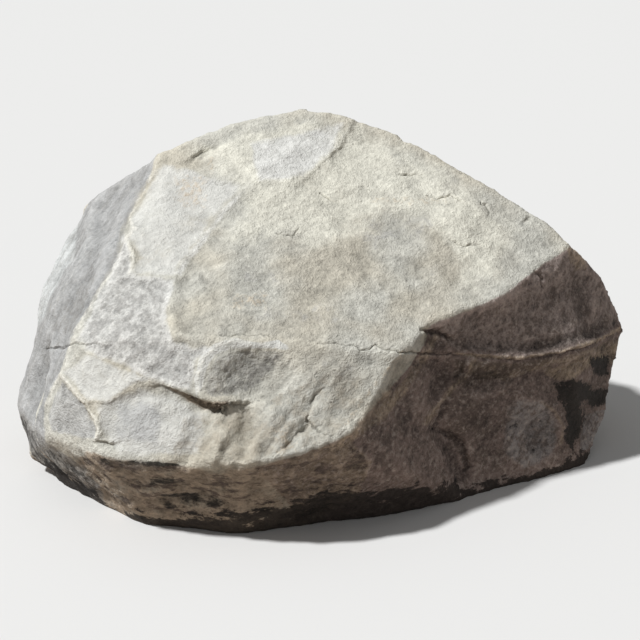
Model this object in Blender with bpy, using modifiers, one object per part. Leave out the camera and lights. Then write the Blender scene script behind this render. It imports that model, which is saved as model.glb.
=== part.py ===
"""A broken fieldstone boulder, about 0.9 m long, lying on its worn base.

The block is one piece of stone. Its broken corners are measured first and wrapped in their convex hull,
which gives the big fracture faces and the edges between them. Rounded bites are then taken out of the hull
where flakes came away, ledges and furrows are pressed into the faces, and the whole is weathered.

Metres, +Z up, +X along the block, and the big sloping face looks towards -Y.
"""

import math

import bmesh
import bpy
import numpy as np
from mathutils import Quaternion, Vector

# Corners of the broken block. A face runs flat between the corners that it joins.
CROWN_CORNERS = {
    "crown_left": (-0.110, 0.120, 0.477),
    "crown": (-0.035, 0.135, 0.493),
    "crown_right": (0.035, 0.135, 0.482),
    "crest_high": (0.115, 0.120, 0.459),
    "crest_low": (0.280, 0.050, 0.370),
    "crest_end": (0.325, 0.020, 0.350),
    "shoulder": (0.360, -0.010, 0.325),
    "lip": (0.260, -0.120, 0.290),
    "elbow": (0.150, -0.180, 0.265),
    "brow": (-0.235, 0.060, 0.440),
    "brow_mid": (-0.175, 0.100, 0.455),
}
FRONT_CORNERS = {
    "brim_left": (-0.185, -0.250, 0.275),
    "brim_mid": (-0.065, -0.250, 0.265),
    "elbow_low": (0.110, -0.235, 0.240),
    "jaw": (0.040, -0.310, 0.165),
    "chin_right": (-0.025, -0.340, 0.145),
    "chin_front": (-0.095, -0.350, 0.135),
    "chin": (-0.180, -0.330, 0.125),
    "chin_mid": (-0.295, -0.300, 0.124),
    "chin_left": (-0.369, -0.220, 0.114),
    "gusset": (-0.290, -0.275, 0.185),
}
LEFT_CORNERS = {
    "arete_high": (-0.265, -0.040, 0.375),
    "arete_mid": (-0.295, -0.120, 0.315),
    "arete_low": (-0.330, -0.200, 0.250),
    "arete_foot": (-0.345, -0.220, 0.205),
    "cheek_top": (-0.285, 0.110, 0.400),
    "cheek_high": (-0.345, 0.130, 0.352),
    "cheek_low": (-0.415, 0.050, 0.240),
    "flank_low": (-0.445, -0.060, 0.090),
    "flank_foot": (-0.415, -0.090, 0.030),
}
RIGHT_CORNERS = {
    "shoulder_drop": (0.415, 0.030, 0.265),
    "shoulder_low": (0.450, 0.060, 0.205),
    "nose": (0.465, 0.060, 0.165),
    "rib_right": (0.368, -0.067, 0.183),
    "rib_mid": (0.276, -0.134, 0.196),
    "right_low": (0.430, -0.010, 0.050),
}
BACK_CORNERS = {
    "back_ridge_left": (-0.150, 0.235, 0.395),
    "back_ridge": (0.030, 0.250, 0.405),
    "back_ridge_right": (0.180, 0.235, 0.345),
    "back_shoulder": (0.330, 0.170, 0.270),
    "back_nose": (0.430, 0.150, 0.150),
    "back_belly_left": (-0.200, 0.300, 0.190),
    "back_belly_right": (0.140, 0.310, 0.150),
    "back_cheek": (-0.345, 0.205, 0.270),
    "back_cheek_low": (-0.400, 0.130, 0.110),
}
BASE_CORNERS = {
    "foot_left": (-0.345, -0.155, 0.0),
    "foot_front_left": (-0.230, -0.255, 0.0),
    "foot_front": (-0.110, -0.280, 0.0),
    "foot_mid": (0.070, -0.235, 0.0),
    "foot_right": (0.255, -0.160, 0.0),
    "foot_far": (0.392, -0.068, 0.0),
    "right_foot": (0.385, 0.060, 0.0),
    "back_foot_right": (0.270, 0.190, 0.0),
    "back_foot": (0.080, 0.250, 0.0),
    "back_foot_mid": (-0.150, 0.240, 0.0),
    "back_foot_left": (-0.310, 0.140, 0.0),
}
ALL_CORNERS = (
    CROWN_CORNERS,
    FRONT_CORNERS,
    LEFT_CORNERS,
    RIGHT_CORNERS,
    BACK_CORNERS,
    BASE_CORNERS,
)

# The stone broke inwards where its front meets its right side. The break has two faces, which meet in a
# crease: the left one runs from the crease to the jaw, the right one runs under the lip.
ELBOW_BREAK = {
    "crease_top": (0.152, -0.182, 0.262),
    "crease_foot": (0.205, -0.176, 0.000),
    "left_face_way": (-0.668, -0.721, -0.183),
    "right_face_way": (0.893, 0.450, 0.000),
    "outward": (0.600, -0.800, 0.030),
    "reach": 0.320,
    "margin": 0.080,
}

# Bites that flakes left in the hull. Each is part of an ellipsoid: where it is deepest, the way the
# hollow faces, its half sizes across, up and into the stone, its roll about that way, and its depth.
SCOOPS = {
    "right_scar": {
        "at": (0.310, -0.118, 0.085), "faces": (0.62, -0.78, -0.05),
        "half": (0.120, 0.150, 0.160), "roll": -10, "bite": 0.007,
    },
    "brim_scoop": {
        "at": (-0.100, -0.277, 0.232), "faces": (0.20, -0.78, 0.50),
        "half": (0.105, 0.062, 0.070), "roll": 0, "bite": 0.010,
    },
    "left_scar": {
        "at": (-0.395, -0.110, 0.150), "faces": (-0.85, -0.42, 0.30),
        "half": (0.110, 0.150, 0.140), "roll": 20, "bite": 0.010,
    },
    "back_scar": {
        "at": (0.150, 0.275, 0.275), "faces": (0.22, 0.85, 0.48),
        "half": (0.300, 0.200, 0.260), "roll": 15, "bite": 0.020,
    },
    "back_left_scar": {
        "at": (-0.240, 0.262, 0.255), "faces": (-0.40, 0.85, 0.35),
        "half": (0.240, 0.170, 0.220), "roll": -20, "bite": 0.018,
    },
    "back_low_scar": {
        "at": (-0.060, 0.290, 0.090), "faces": (-0.05, 0.98, -0.20),
        "half": (0.200, 0.080, 0.100), "roll": 5, "bite": 0.018,
    },
    "end_scar": {
        "at": (0.440, 0.105, 0.200), "faces": (0.90, 0.30, 0.25),
        "half": (0.120, 0.110, 0.110), "roll": 0, "bite": 0.012,
    },
}

SKIN_STEP = 0.005
WORN_EDGE_PASSES = 8
# Weathering: the size of the swells in metres, how far they reach from hollow to crest, and their detail.
WEATHERING = {
    "swells": {"size": 0.140, "height": 0.014, "detail": 1},
    "lumps": {"size": 0.045, "height": 0.006, "detail": 1},
}
# The underside is every low point that looks down this steeply. It is cut off flat at the base cut.
UNDERSIDE_HEIGHT = 0.014
UNDERSIDE_STEEPNESS = -0.75
BASE_CUT = 0.003
# The finished block is thinned to about this many faces. Points closer than the weld are made one.
MOST_FACES = 9700
WELD = 0.00001
# How often the faces of a scoop's cutter are split, so that the bite comes out round.
SCOOP_SUBDIVISIONS = 5
MM_PER_METRE = 1000

STONE_COLOUR = (0.60, 0.57, 0.52, 1.0)
STONE_ROUGHNESS = 0.85

# A viewing sheet stands across the block. A point of the stone is drawn on it where the line from the
# viewing point to the stone crosses it, x to the viewer's right and h up the sheet, in millimetres.
FRONT_VIEW_POINT = Vector((0.0, -2.086, 0.964))
BACK_VIEW_POINT = Vector((0.0, 2.086, 0.964))
SHEET_CENTRE = Vector((0.0, 0.0, 0.205))

# Ledges pressed into the front: (x, h, drop). The stone steps down on the left of the route, and comes
# back to its face over the fade.
FRONT_LEDGES = {
    "rib_top": {
        "route": [
            (176, -42, 2), (230, -50, 5), (294, -56, 7), (353, -47, 8), (411, -29, 7), (451, -7, 2),
        ],
        "edge": 9, "fade": 80,
    },
    "rib_foot": {
        "route": [(451, -12, 2), (411, -36, 8), (353, -58, 12), (294, -66, 12), (200, -60, 6)],
        "edge": 26, "fade": 140,
    },
    "scar_rim": {
        "route": [
            (-70, 222, 1), (-110, 188, 2), (-169, 120, 2), (-206, 76, 3), (-217, 29, 3),
            (-209, -15, 3), (-176, -25, 3), (-85, -28, 3), (15, -38, 2), (70, -42, 1),
        ],
        "edge": 8, "fade": 170,
    },
    "crown_flake": {
        "route": [(47, 288, 3), (22, 250, 3), (-22, 209, 2), (-50, 190, 1)],
        "edge": 5, "fade": 90,
    },
    "spall_lip": {
        "route": [
            (-80, -117, 1), (-110, -122, 7), (-144, -132, 13), (-169, -123, 12), (-198, -109, 9),
            (-241, -93, 6), (-264, -100, 5), (-306, -120, 4), (-333, -123, 2),
        ],
        "edge": 5, "fade": 60,
    },
    "band_end": {
        "route": [(-205, 66, 3), (-240, 63, 4), (-282, 63, 4), (-310, 52, 2)],
        "edge": 5, "fade": 60,
    },
}

BACK_LEDGES = {
    "bedding_step": {
        "route": [
            (330, 70, 3), (190, 104, 10), (60, 96, 13), (-70, 122, 12), (-200, 96, 9), (-310, 110, 2),
        ],
        "edge": 9, "fade": 110,
    },
    "spall_arc": {
        "route": [
            (-250, 40, 2), (-205, -40, 9), (-110, -92, 12), (20, -84, 11), (110, -30, 7), (150, 40, 2),
        ],
        "edge": 10, "fade": 90,
    },
    "back_chip": {
        "route": [(250, -20, 2), (300, -70, 8), (290, -130, 9), (230, -170, 3)],
        "edge": 8, "fade": 60,
    },
}

# Furrows and welts along routes on the sheet: (x, h, rise). A welt has a positive rise.
FRONT_FOLDS = {
    "brow_slit": {
        "route": [(-200, 229, -2), (-176, 241, -5), (-150, 256, -4), (-112, 277, -1)],
        "width": 6,
    },
    "cheek_welt": {
        "route": [(-308, 209, 3), (-335, 140, 5), (-355, 81, 6), (-400, -15, 3)],
        "width": 11,
    },
    "cheek_furrow": {
        "route": [(-245, 215, -2), (-291, 135, -7), (-311, 73, -6), (-350, 10, -2)],
        "width": 9,
    },
    "chin_furrow": {
        "route": [(-110, -118, -3), (-109, -154, -5), (-116, -200, -4)],
        "width": 10,
    },
    "chin_furrow_left": {
        "route": [(-184, -130, -1), (-194, -176, -4), (-204, -210, -4)],
        "width": 9,
    },
    "chin_welt": {
        "route": [(-150, -145, 3), (-158, -195, 5)],
        "width": 14,
    },
    "jaw_welt": {
        "route": [(-66, -130, 3), (-60, -190, 5)],
        "width": 18,
    },
    "jaw_crack": {
        "route": [(7, -80, -1), (-3, -110, -2), (-20, -125, -3), (-22, -154, -3)],
        "width": 5,
    },
    "jaw_crack_low": {
        "route": [(-20, -154, -3), (-44, -176, -4), (-76, -194, -3)],
        "width": 8,
    },
    "jaw_crack_right": {
        "route": [(-20, -156, -3), (15, -162, -3), (40, -178, -1)],
        "width": 6,
    },
    "seam": {
        "route": [(190, -60, -4), (177, -110, -8), (176, -160, -9), (198, -191, -9), (213, -238, -7)],
        "width": 15,
    },
    "shoulder_hollow": {
        "route": [(250, -15, -4), (330, 5, -9), (390, 40, -7)],
        "width": 40,
    },
    "gusset_welt": {
        "route": [(-382, -81, 1), (-333, -125, 3), (-323, -162, 3), (-335, -195, 1)],
        "width": 6,
    },
}
BACK_FOLDS = {
    "back_seam": {
        "route": [(-150, 230, -2), (-118, 150, -7), (-140, 60, -9), (-120, 0, -2)],
        "width": 10,
    },
    "back_crack": {
        "route": [(60, 96, -4), (95, 20, -7), (80, -60, -7), (120, -150, -4)],
        "width": 8,
    },
    "back_welt": {
        "route": [(-330, -40, 2), (-240, -90, 6), (-220, -160, 5)],
        "width": 16,
    },
    "back_hollow": {
        "route": [(160, 180, -3), (230, 150, -8), (290, 90, -5)],
        "width": 45,
    },
}
# A face is pressed in full once it looks this squarely at the viewer.
SQUARE_ENOUGH = 0.25


def clear_scene():
    for old in list(bpy.data.objects):
        bpy.data.objects.remove(old, do_unlink=True)


def new_collection(name):
    collection = bpy.data.collections.new(name)
    bpy.context.scene.collection.children.link(collection)
    return collection


def wrapped(name, places, collection):
    """The convex hull of the places, as an object."""
    shape = bmesh.new()
    for place in places:
        shape.verts.new(place)
    hull = bmesh.ops.convex_hull(shape, input=shape.verts)
    inner = [item for item in hull["geom_interior"] if isinstance(item, bmesh.types.BMVert)]
    bmesh.ops.delete(shape, geom=inner, context="VERTS")
    mesh = bpy.data.meshes.new(name)
    shape.to_mesh(mesh)
    shape.free()
    wrap = bpy.data.objects.new(name, mesh)
    collection.objects.link(wrap)
    return wrap


def take_away(block, cutter):
    """Cuts the cutter's shape out of the block, and keeps the cutter out of renders."""
    cutter.display_type = "WIRE"
    cutter.hide_render = True
    cut = block.modifiers.new(cutter.name, "BOOLEAN")
    cut.operation = "DIFFERENCE"
    cut.object = cutter


def break_elbow(block, collection):
    """Takes out the stone in front of both faces of the elbow break."""
    top = Vector(ELBOW_BREAK["crease_top"])
    foot = Vector(ELBOW_BREAK["crease_foot"])
    margin = (top - foot).normalized() * ELBOW_BREAK["margin"]
    places = []
    for end in (top + margin, foot - margin):
        places.append(end)
        for way in ("left_face_way", "right_face_way", "outward"):
            places.append(end + Vector(ELBOW_BREAK[way]) * ELBOW_BREAK["reach"])
    take_away(block, wrapped("elbow_break", places, collection))


def take_scoop(block, collection, name, scoop):
    """Cuts one flake's bite with an ellipsoid that stands out of the stone."""
    outward = Vector(scoop["faces"]).normalized()
    across, up, deep = scoop["half"]
    roll = Quaternion((0, 0, 1), math.radians(scoop["roll"]))
    bpy.ops.mesh.primitive_ico_sphere_add(subdivisions=SCOOP_SUBDIVISIONS, radius=1.0)
    cutter = bpy.context.object
    cutter.name = name
    cutter.scale = (across, up, deep)
    cutter.rotation_mode = "QUATERNION"
    cutter.rotation_quaternion = outward.to_track_quat("Z", "Y") @ roll
    cutter.location = Vector(scoop["at"]) + outward * (deep - scoop["bite"])
    for holder in list(cutter.users_collection):
        holder.objects.unlink(cutter)
    collection.objects.link(cutter)
    take_away(block, cutter)


def settle(block):
    """Makes what the modifiers give the block's own mesh."""
    graph = bpy.context.evaluated_depsgraph_get()
    mesh = bpy.data.meshes.new_from_object(block.evaluated_get(graph))
    block.modifiers.clear()
    block.data = mesh


def even_skin(block):
    """Covers the block with an even mesh and takes the saw edge off its ridges."""
    remesh = block.modifiers.new("even_skin", "REMESH")
    remesh.mode = "VOXEL"
    remesh.voxel_size = SKIN_STEP
    smooth = block.modifiers.new("worn_edges", "SMOOTH")
    smooth.iterations = WORN_EDGE_PASSES
    settle(block)


def read_points(mesh):
    places = np.empty(len(mesh.vertices) * 3)
    mesh.vertices.foreach_get("co", places)
    normals = np.empty(len(mesh.vertices) * 3)
    mesh.vertices.foreach_get("normal", normals)
    return places.reshape(-1, 3), normals.reshape(-1, 3)


def move_points(mesh, places):
    mesh.vertices.foreach_set("co", places.ravel())
    mesh.update()


def on_sheet(places, view_point):
    """Where the viewer sees each point on the sheet, in millimetres, and the way from it to the viewer."""
    back = (view_point - SHEET_CENTRE).normalized()
    right = Vector((0, 0, 1)).cross(back).normalized()
    up = back.cross(right)
    away = places - np.array(view_point)
    depth = -(away @ np.array(back))
    scale = MM_PER_METRE * (view_point - SHEET_CENTRE).length / depth
    drawn = np.stack([(away @ np.array(right)) * scale, (away @ np.array(up)) * scale], axis=1)
    return drawn, -away / np.linalg.norm(away, axis=1)[:, None]


def beside_route(drawn, route):
    """For each drawn point, its distance to the route, positive on the route's left, and the route's
    third value at the nearest place."""
    nearest = np.full(len(drawn), np.inf)
    side = np.zeros(len(drawn))
    value = np.zeros(len(drawn))
    for start, end in zip(route, route[1:]):
        first = np.array(start[:2], float)
        along = np.array(end[:2], float) - first
        part = np.clip(((drawn - first) @ along) / (along @ along), 0, 1)
        gap = drawn - (first + part[:, None] * along)
        distance = np.linalg.norm(gap, axis=1)
        closer = distance < nearest
        nearest[closer] = distance[closer]
        side[closer] = np.sign(along[0] * gap[:, 1] - along[1] * gap[:, 0])[closer]
        value[closer] = (start[2] + part * (end[2] - start[2]))[closer]
    return nearest * side, value


def smooth_rise(x):
    x = np.clip(x, 0, 1)
    return x * x * (3 - 2 * x)


def press_faces(block, view_point, ledges, folds):
    """Presses ledges and folds into the faces that a viewer there sees, along their normals."""
    places, normals = read_points(block.data)
    drawn, to_viewer = on_sheet(places, view_point)
    seen = smooth_rise((normals * to_viewer).sum(axis=1) / SQUARE_ENOUGH)
    rise = np.zeros(len(places))
    for ledge in ledges.values():
        beside, drop = beside_route(drawn, ledge["route"])
        left = np.maximum(beside, 0)
        rise -= drop * smooth_rise(left / ledge["edge"]) * np.exp(-left / ledge["fade"])
    for fold in folds.values():
        beside, height = beside_route(drawn, fold["route"])
        rise += height * np.exp(-((beside / fold["width"]) ** 2))
    move_points(block.data, places + normals * (rise * seen / MM_PER_METRE)[:, None])


def weather(block):
    """Swells and hollows the skin, as water and frost do."""
    for name, wave in WEATHERING.items():
        clouds = bpy.data.textures.new(name, "CLOUDS")
        clouds.noise_scale = wave["size"]
        clouds.noise_depth = wave["detail"]
        swell = block.modifiers.new(name, "DISPLACE")
        swell.texture = clouds
        swell.texture_coords = "LOCAL"
        swell.strength = wave["height"]
    settle(block)


def thin_out(block):
    """Leaves few faces where the stone is flat, and more where it turns."""
    triangulate = block.modifiers.new("triangles", "TRIANGULATE")
    triangulate.quad_method = "SHORTEST_DIAGONAL"
    settle(block)
    fewer = block.modifiers.new("fewer_faces", "DECIMATE")
    fewer.ratio = MOST_FACES / len(block.data.polygons)
    settle(block)


def lower_underside(block):
    """Pushes the whole underside below the base cut, so that the cut leaves no dents in the base."""
    places, normals = read_points(block.data)
    under = (places[:, 2] < UNDERSIDE_HEIGHT) & (normals[:, 2] < UNDERSIDE_STEEPNESS)
    places[under, 2] = -BASE_CUT
    move_points(block.data, places)


def flatten_base(block):
    """Cuts the worn base off flat and closes it, so that the block rests on one face."""
    shape = bmesh.new()
    shape.from_mesh(block.data)
    everything = shape.verts[:] + shape.edges[:] + shape.faces[:]
    cut = bmesh.ops.bisect_plane(
        shape,
        geom=everything,
        dist=WELD,
        plane_co=(0, 0, BASE_CUT),
        plane_no=(0, 0, 1),
        clear_inner=True,
    )
    rim = [item for item in cut["geom_cut"] if isinstance(item, bmesh.types.BMEdge)]
    bmesh.ops.contextual_create(shape, geom=rim)
    bmesh.ops.remove_doubles(shape, verts=shape.verts, dist=WELD)
    bmesh.ops.dissolve_degenerate(shape, edges=shape.edges, dist=WELD)
    bmesh.ops.triangulate(shape, faces=shape.faces)
    bmesh.ops.recalc_face_normals(shape, faces=shape.faces)
    shape.to_mesh(block.data)
    shape.free()


def centre_on_base(block):
    """Puts the origin under the middle of the block's box, on the base, and returns the move made."""
    places, _ = read_points(block.data)
    low = places.min(axis=0)
    high = places.max(axis=0)
    move = np.array([-(low[0] + high[0]) / 2, -(low[1] + high[1]) / 2, -low[2]])
    move_points(block.data, places + move)
    return move


def stone():
    """Pale weathered quartzite: a dry, rough, grey beige surface."""
    material = bpy.data.materials.new("quartzite")
    material.use_nodes = True
    shader = material.node_tree.nodes["Principled BSDF"]
    shader.inputs["Base Color"].default_value = STONE_COLOUR
    shader.inputs["Roughness"].default_value = STONE_ROUGHNESS
    shader.inputs["Metallic"].default_value = 0.0
    return material


def main():
    clear_scene()
    stones = new_collection("boulder")
    cutters = new_collection("cutters")
    corners = [place for group in ALL_CORNERS for place in group.values()]
    block = wrapped("boulder", corners, stones)
    break_elbow(block, cutters)
    for name, scoop in SCOOPS.items():
        take_scoop(block, cutters, name, scoop)
    even_skin(block)
    press_faces(block, FRONT_VIEW_POINT, FRONT_LEDGES, FRONT_FOLDS)
    press_faces(block, BACK_VIEW_POINT, BACK_LEDGES, BACK_FOLDS)
    weather(block)
    lower_underside(block)
    thin_out(block)
    flatten_base(block)
    move = centre_on_base(block)
    block.data.materials.append(stone())
    return move


if __name__ == "__main__":
    main()
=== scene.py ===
"""A broken fieldstone boulder of pale quartzite, finished as the weathered stone and set on a plain floor.

The fixed block gives the big faces. Its skin is copied, made fine and even, and worked over: cracks, lips
and worn ridges are cut along measured routes, then frost and grain roughen it. The finish follows the
same routes, and what the shape itself says: paler where it stands proud, rubbed and with a painted
highlight, and darker where it is hollow, with painted shade.
"""

import math

import bpy
import numpy as np
from bpy.props import FloatProperty, FloatVectorProperty, IntProperty, PointerProperty
from bpy.types import Operator, Panel, PropertyGroup
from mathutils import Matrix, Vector


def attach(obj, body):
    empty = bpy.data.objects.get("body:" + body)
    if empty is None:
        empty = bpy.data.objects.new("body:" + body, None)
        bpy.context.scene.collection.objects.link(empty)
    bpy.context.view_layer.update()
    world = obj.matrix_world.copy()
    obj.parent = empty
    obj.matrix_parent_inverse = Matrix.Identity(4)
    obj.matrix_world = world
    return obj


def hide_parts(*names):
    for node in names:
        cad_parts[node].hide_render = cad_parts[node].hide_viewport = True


bl_info = {
    "name": "Fieldstone Boulder",
    "version": (1, 0, 0),
    "blender": (4, 5, 0),
    "location": "View3D > Sidebar > Boulder",
    "description": "Finishes a broken quartzite boulder and sets it on a plain floor",
    "category": "Object",
}

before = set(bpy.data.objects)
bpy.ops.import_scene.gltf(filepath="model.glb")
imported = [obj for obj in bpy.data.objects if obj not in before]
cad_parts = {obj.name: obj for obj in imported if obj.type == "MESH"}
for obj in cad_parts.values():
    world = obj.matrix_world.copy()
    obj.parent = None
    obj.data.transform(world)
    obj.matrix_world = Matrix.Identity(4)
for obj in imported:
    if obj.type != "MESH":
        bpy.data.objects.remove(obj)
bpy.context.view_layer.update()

# A viewing sheet stands across the stone. A point of the stone is drawn on it where the line from the
# viewing point to the stone crosses it, x to the viewer's right and h up the sheet, in millimetres.
FRONT_VIEW_POINT = Vector((-0.0091, -2.0676, 0.9610))
BACK_VIEW_POINT = Vector((-0.0091, 2.1044, 0.9610))
SHEET_CENTRE = Vector((-0.0091, 0.0184, 0.2020))

# How squarely a point has to face a viewer to be fully theirs, and the least that the two viewers are taken
# to see of any point together.
SQUARE_ENOUGH = 0.25
LEAST_SEEN = 0.3

# The skin: the passes of averaging that take off its noise and its forms, how far sharpening may move a
# point, and the height over which the relief fades out at the base, in metres.
NOISE_PASSES = 3
FORM_PASSES = 50
MOST_SHARPENING = 0.006
GROUND_FADE = 0.028

# How far to each side of a lip and of a crack the skin is split, in millimetres, and the cuts in each edge.
LIP_SPLIT = (5, 1)
CRACK_SPLIT = (4, 2)

# How far a ledge, a fold and a crack are followed, in their own fades and widths.
LEDGE_REACH = 4
FOLD_REACH = 3
CRACK_REACH = 4

# The lengths of a route's small turns in millimetres, how much the long ones bend, and the share of the
# short ones.
TURNS_ACROSS = (5.3, 11, 2.1, 3.7)
TURNS_UP = (4.7, 13, 1.9, -3.1)
TURN_BEND = 2
SMALL_TURNS = 0.6

# Cracks: the half width of the groove, and the route as (x, h, depth), all in millimetres.
CRACKS = {
    "long_crack": (1.3, [
        (-4, -35, 1), (15, -32, 2.2), (31, -35, 1.8), (51, -37, 2.4), (60, -43, 3), (72, -43, 3.2),
        (82, -37, 2.6), (97, -43, 3), (125, -48, 3.5), (162, -50, 2.5), (204, -53, 1.5),
    ]),
    "rim_line": (1.2, [(-146, -24, 1), (-128, -22, 2.5), (-100, -21, 1.8), (-72, -22, 1.2)]),
    "short_crack": (1.1, [(0, 188, 1.5), (10, 179, 2.5), (21, 172, 1)]),
    "brow_line": (1.1, [(-155, 200, 1), (-145, 199, 2), (-135, 203, 1)]),
    "face_arc": (1.1, [(-63, 127, 2), (-51, 126, 1.2), (-39, 124, 2), (-32, 134, 1.2)]),
    "jaw_crack": (1.6, [(7, -100, 1.2), (-7, -111, 2), (-16, -130, 2.2), (-19, -150, 2.2)]),
    "jaw_crack_right": (1.6, [(-19, -150, 2), (-10, -158, 2.2), (1, -164, 2), (19, -170, 1)]),
    "jaw_crack_left": (2, [(-18, -155, 2), (-33, -167, 2.2), (-48, -182, 2.4), (-71, -201, 1.5)]),
    "flank_crack": (1.6, [
        (-401, -43, 1.5), (-384, -41, 4), (-373, -38, 3), (-364, -36, 2.5), (-327, -35, 1),
    ]),
    "crest_crack_a": (1.3, [(117, 213, 1.5), (126, 214, 2.6), (137, 215, 2.4), (149, 212, 1)]),
    "crest_crack_b": (1.4, [(156, 182, 1.2), (173, 179, 2.6), (193, 183, 2.4), (208, 178, 3)]),
    "crest_crack_c": (1.6, [(238, 173, 3.5), (244, 170, 2.6), (249, 157, 1)]),
    "crest_notch": (3, [(298, 143, 2.5), (306, 151, 4)]),
    "crest_crack_d": (1.3, [(191, 117, 1), (203, 113, 2), (215, 109, 2.2), (234, 112, 1.4)]),
    "edge_crack": (1.8, [(317, 71, 1.5), (327, 60, 3), (328, 48, 1.5)]),
    "notch_bottom": (3, [
        (-176, -124, 2), (-158, -133, 5), (-140, -134, 6), (-124, -128, 4), (-98, -122, 1),
    ]),
    "dark_slit": (3.2, [(150, -14, 3), (157, -16, 6), (170, -18, 7), (185, -24, 6), (198, -30, 2)]),
}

# Ledges: the width of the edge, the fade, and the route as (x, h, drop). The stone steps down by the drop
# on the left of the route, and comes back over the fade.
LEDGES = {
    "rib_drop": (2.5, 16, [
        (451, -8, 1), (433, -17, 3), (411, -30, 4.5), (385, -39, 5.5), (353, -48, 6), (323, -52, 6),
        (294, -57, 5.5), (272, -55, 5), (242, -51, 4.5), (220, -49, 3), (191, -48, 1),
    ]),
    "step_line": (3.5, 40, [
        (44, 282, 0.8), (32, 260, 1.3), (22, 250, 1.4), (0, 231, 1.3), (-22, 209, 0.6),
    ]),
    "spall_lip": (2.5, 26, [
        (-85, -112, 0.5), (-93, -113, 1), (-119, -120, 2), (-130, -122, 3), (-160, -126, 3.5),
        (-188, -113, 3), (-216, -101, 2.5), (-235, -96, 2), (-244, -95, 1.5), (-262, -92, 0.5),
    ]),
    "left_lip": (2.5, 30, [(-268, -93, 0.5), (-295, -115, 1.2), (-313, -121, 1.8), (-342, -121, 1.2)]),
    "chin_notch": (3, 10, [(-290, -177, 1), (-305, -180, 6), (-315, -177, 7), (-325, -177, 3)]),
}

# Folds: the width, and the route as (x, h, rise). A furrow has a negative rise and a welt a positive one.
FOLDS = {
    "ridge_bright": (5, [
        (-235, 241, 0.5), (-246, 215, 1.2), (-261, 185, 1.2), (-270, 170, 1.6), (-280, 153, 2.2),
        (-272, 133, 2.2), (-284, 118, 2.5), (-274, 95, 2.5), (-276, 71, 2.2), (-287, 63, 1.5),
    ]),
    "bevel_rim": (7, [
        (-110, 190, 0.5), (-126, 181, 1), (-149, 158, 1.2), (-174, 122, 1.4), (-196, 94, 1.4),
        (-214, 67, 1.4), (-222, 29, 1.2), (-219, 0, 1.2), (-212, -24, 1), (-176, -29, 1), (-140, -30, 0.6),
    ]),
    "ridge_lower": (4, [
        (-299, 86, 1), (-315, 57, 2), (-331, 29, 2.5), (-348, 1, 2.5), (-362, -28, 2), (-368, -50, 1.5),
        (-380, -79, 2), (-391, -98, 1.5), (-403, -126, 1),
    ]),
    "triangle_ridge": (3.5, [
        (-380, -79, 1.5), (-362, -103, 2), (-344, -122, 2), (-331, -144, 2.5), (-323, -166, 2.5),
        (-329, -177, 1.5),
    ]),
    "welt": (8, [
        (-306, 200, 1), (-332, 174, 2), (-338, 133, 2.5), (-346, 93, 2.8), (-372, 48, 2.8), (-398, 5, 2.5),
        (-407, -30, 1),
    ]),
    "flank_furrow": (5, [
        (-250, 201, -1), (-270, 169, -3), (-291, 135, -4), (-300, 87, -2.5), (-315, 57, -1),
    ]),
    "brow_slit": (3, [(-194, 231, -1.5), (-184, 239, -3.5), (-172, 247, -3.5), (-150, 254, -1)]),
    "scoop_rim": (7, [
        (-179, -113, 2), (-179, -83, 2.5), (-170, -55, 2.5), (-151, -38, 2.5), (-123, -31, 2.5),
        (-96, -38, 1.5),
    ]),
    "valley": (7, [
        (-106, -135, -1.5), (-113, -158, -1.8), (-117, -173, -1.8), (-132, -180, -1.8), (-138, -192, -1.6),
        (-126, -212, -1.2),
    ]),
    "buttress_valley_a": (4, [(-198, -209, -1.5), (-182, -176, -2.5), (-165, -154, -1.5)]),
    "buttress_valley_b": (5, [(-85, -194, -1.5), (-66, -169, -2.5), (-44, -140, -2), (-29, -118, -1)]),
    "buttress_ridge_b": (7, [(-157, -217, 1), (-144, -176, 2), (-125, -140, 1)]),
    "buttress_ridge_c": (7, [(-103, -209, 1), (-85, -162, 2), (-62, -125, 1)]),
    "rib_line": (5, [
        (191, -46, 0.3), (242, -48, 0.4), (294, -54, 0.5), (353, -45, 0.5), (411, -27, 0.8),
        (433, -14, 0.8), (451, -5, 0.5),
    ]),
    "right_seam": (5, [
        (215, -54, -1), (198, -91, -3), (187, -113, -3), (170, -160, -3.5), (194, -171, -5),
        (210, -186, -6), (216, -217, -4),
    ]),
    "side_ridge": (9, [(231, -53, 1), (217, -71, 2.5), (195, -95, 3), (173, -123, 3), (153, -157, 1.5)]),
    "under_ridge": (9, [(294, -85, 1), (264, -103, 2.5), (231, -116, 3), (206, -150, 1.5)]),
    "pale_curve": (8, [(323, -120, 1), (345, -135, 2.5), (357, -157, 2.5), (353, -184, 1)]),
    "soil_lens": (7, [(-246, -269, -2), (-210, -264, -5), (-170, -262, -5), (-156, -269, -2)]),
}

# The back's lines, in the same form. They are made up in the manner of the front's.
BACK_CRACKS = {
    "back_crack": (2.6, [
        (60, 96, 2), (84, 52, 3.4), (92, 18, 3), (78, -30, 3.4), (84, -72, 2.6), (118, -148, 1),
    ]),
    "back_bed_crack": (2.2, [(-300, 60, 1), (-232, 78, 2.6), (-170, 70, 3), (-96, 84, 2.2), (-30, 80, 1)]),
    "back_short_crack": (2.2, [(180, 10, 1), (210, -14, 2.6), (262, -18, 1.2)]),
}
BACK_LEDGES = {
    "bedding_step": (3, 45, [
        (330, 70, 1), (252, 92, 2.5), (190, 104, 3), (122, 96, 3.5), (60, 96, 4), (0, 112, 3.5),
        (-70, 122, 3), (-140, 112, 3), (-200, 96, 2.5), (-310, 110, 1),
    ]),
    "spall_arc": (3, 36, [
        (-250, 40, 1), (-224, -8, 3), (-205, -40, 3.5), (-160, -72, 4), (-110, -92, 4), (-46, -96, 3.5),
        (20, -84, 3), (70, -62, 2.5), (110, -30, 2), (150, 40, 1),
    ]),
}
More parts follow.
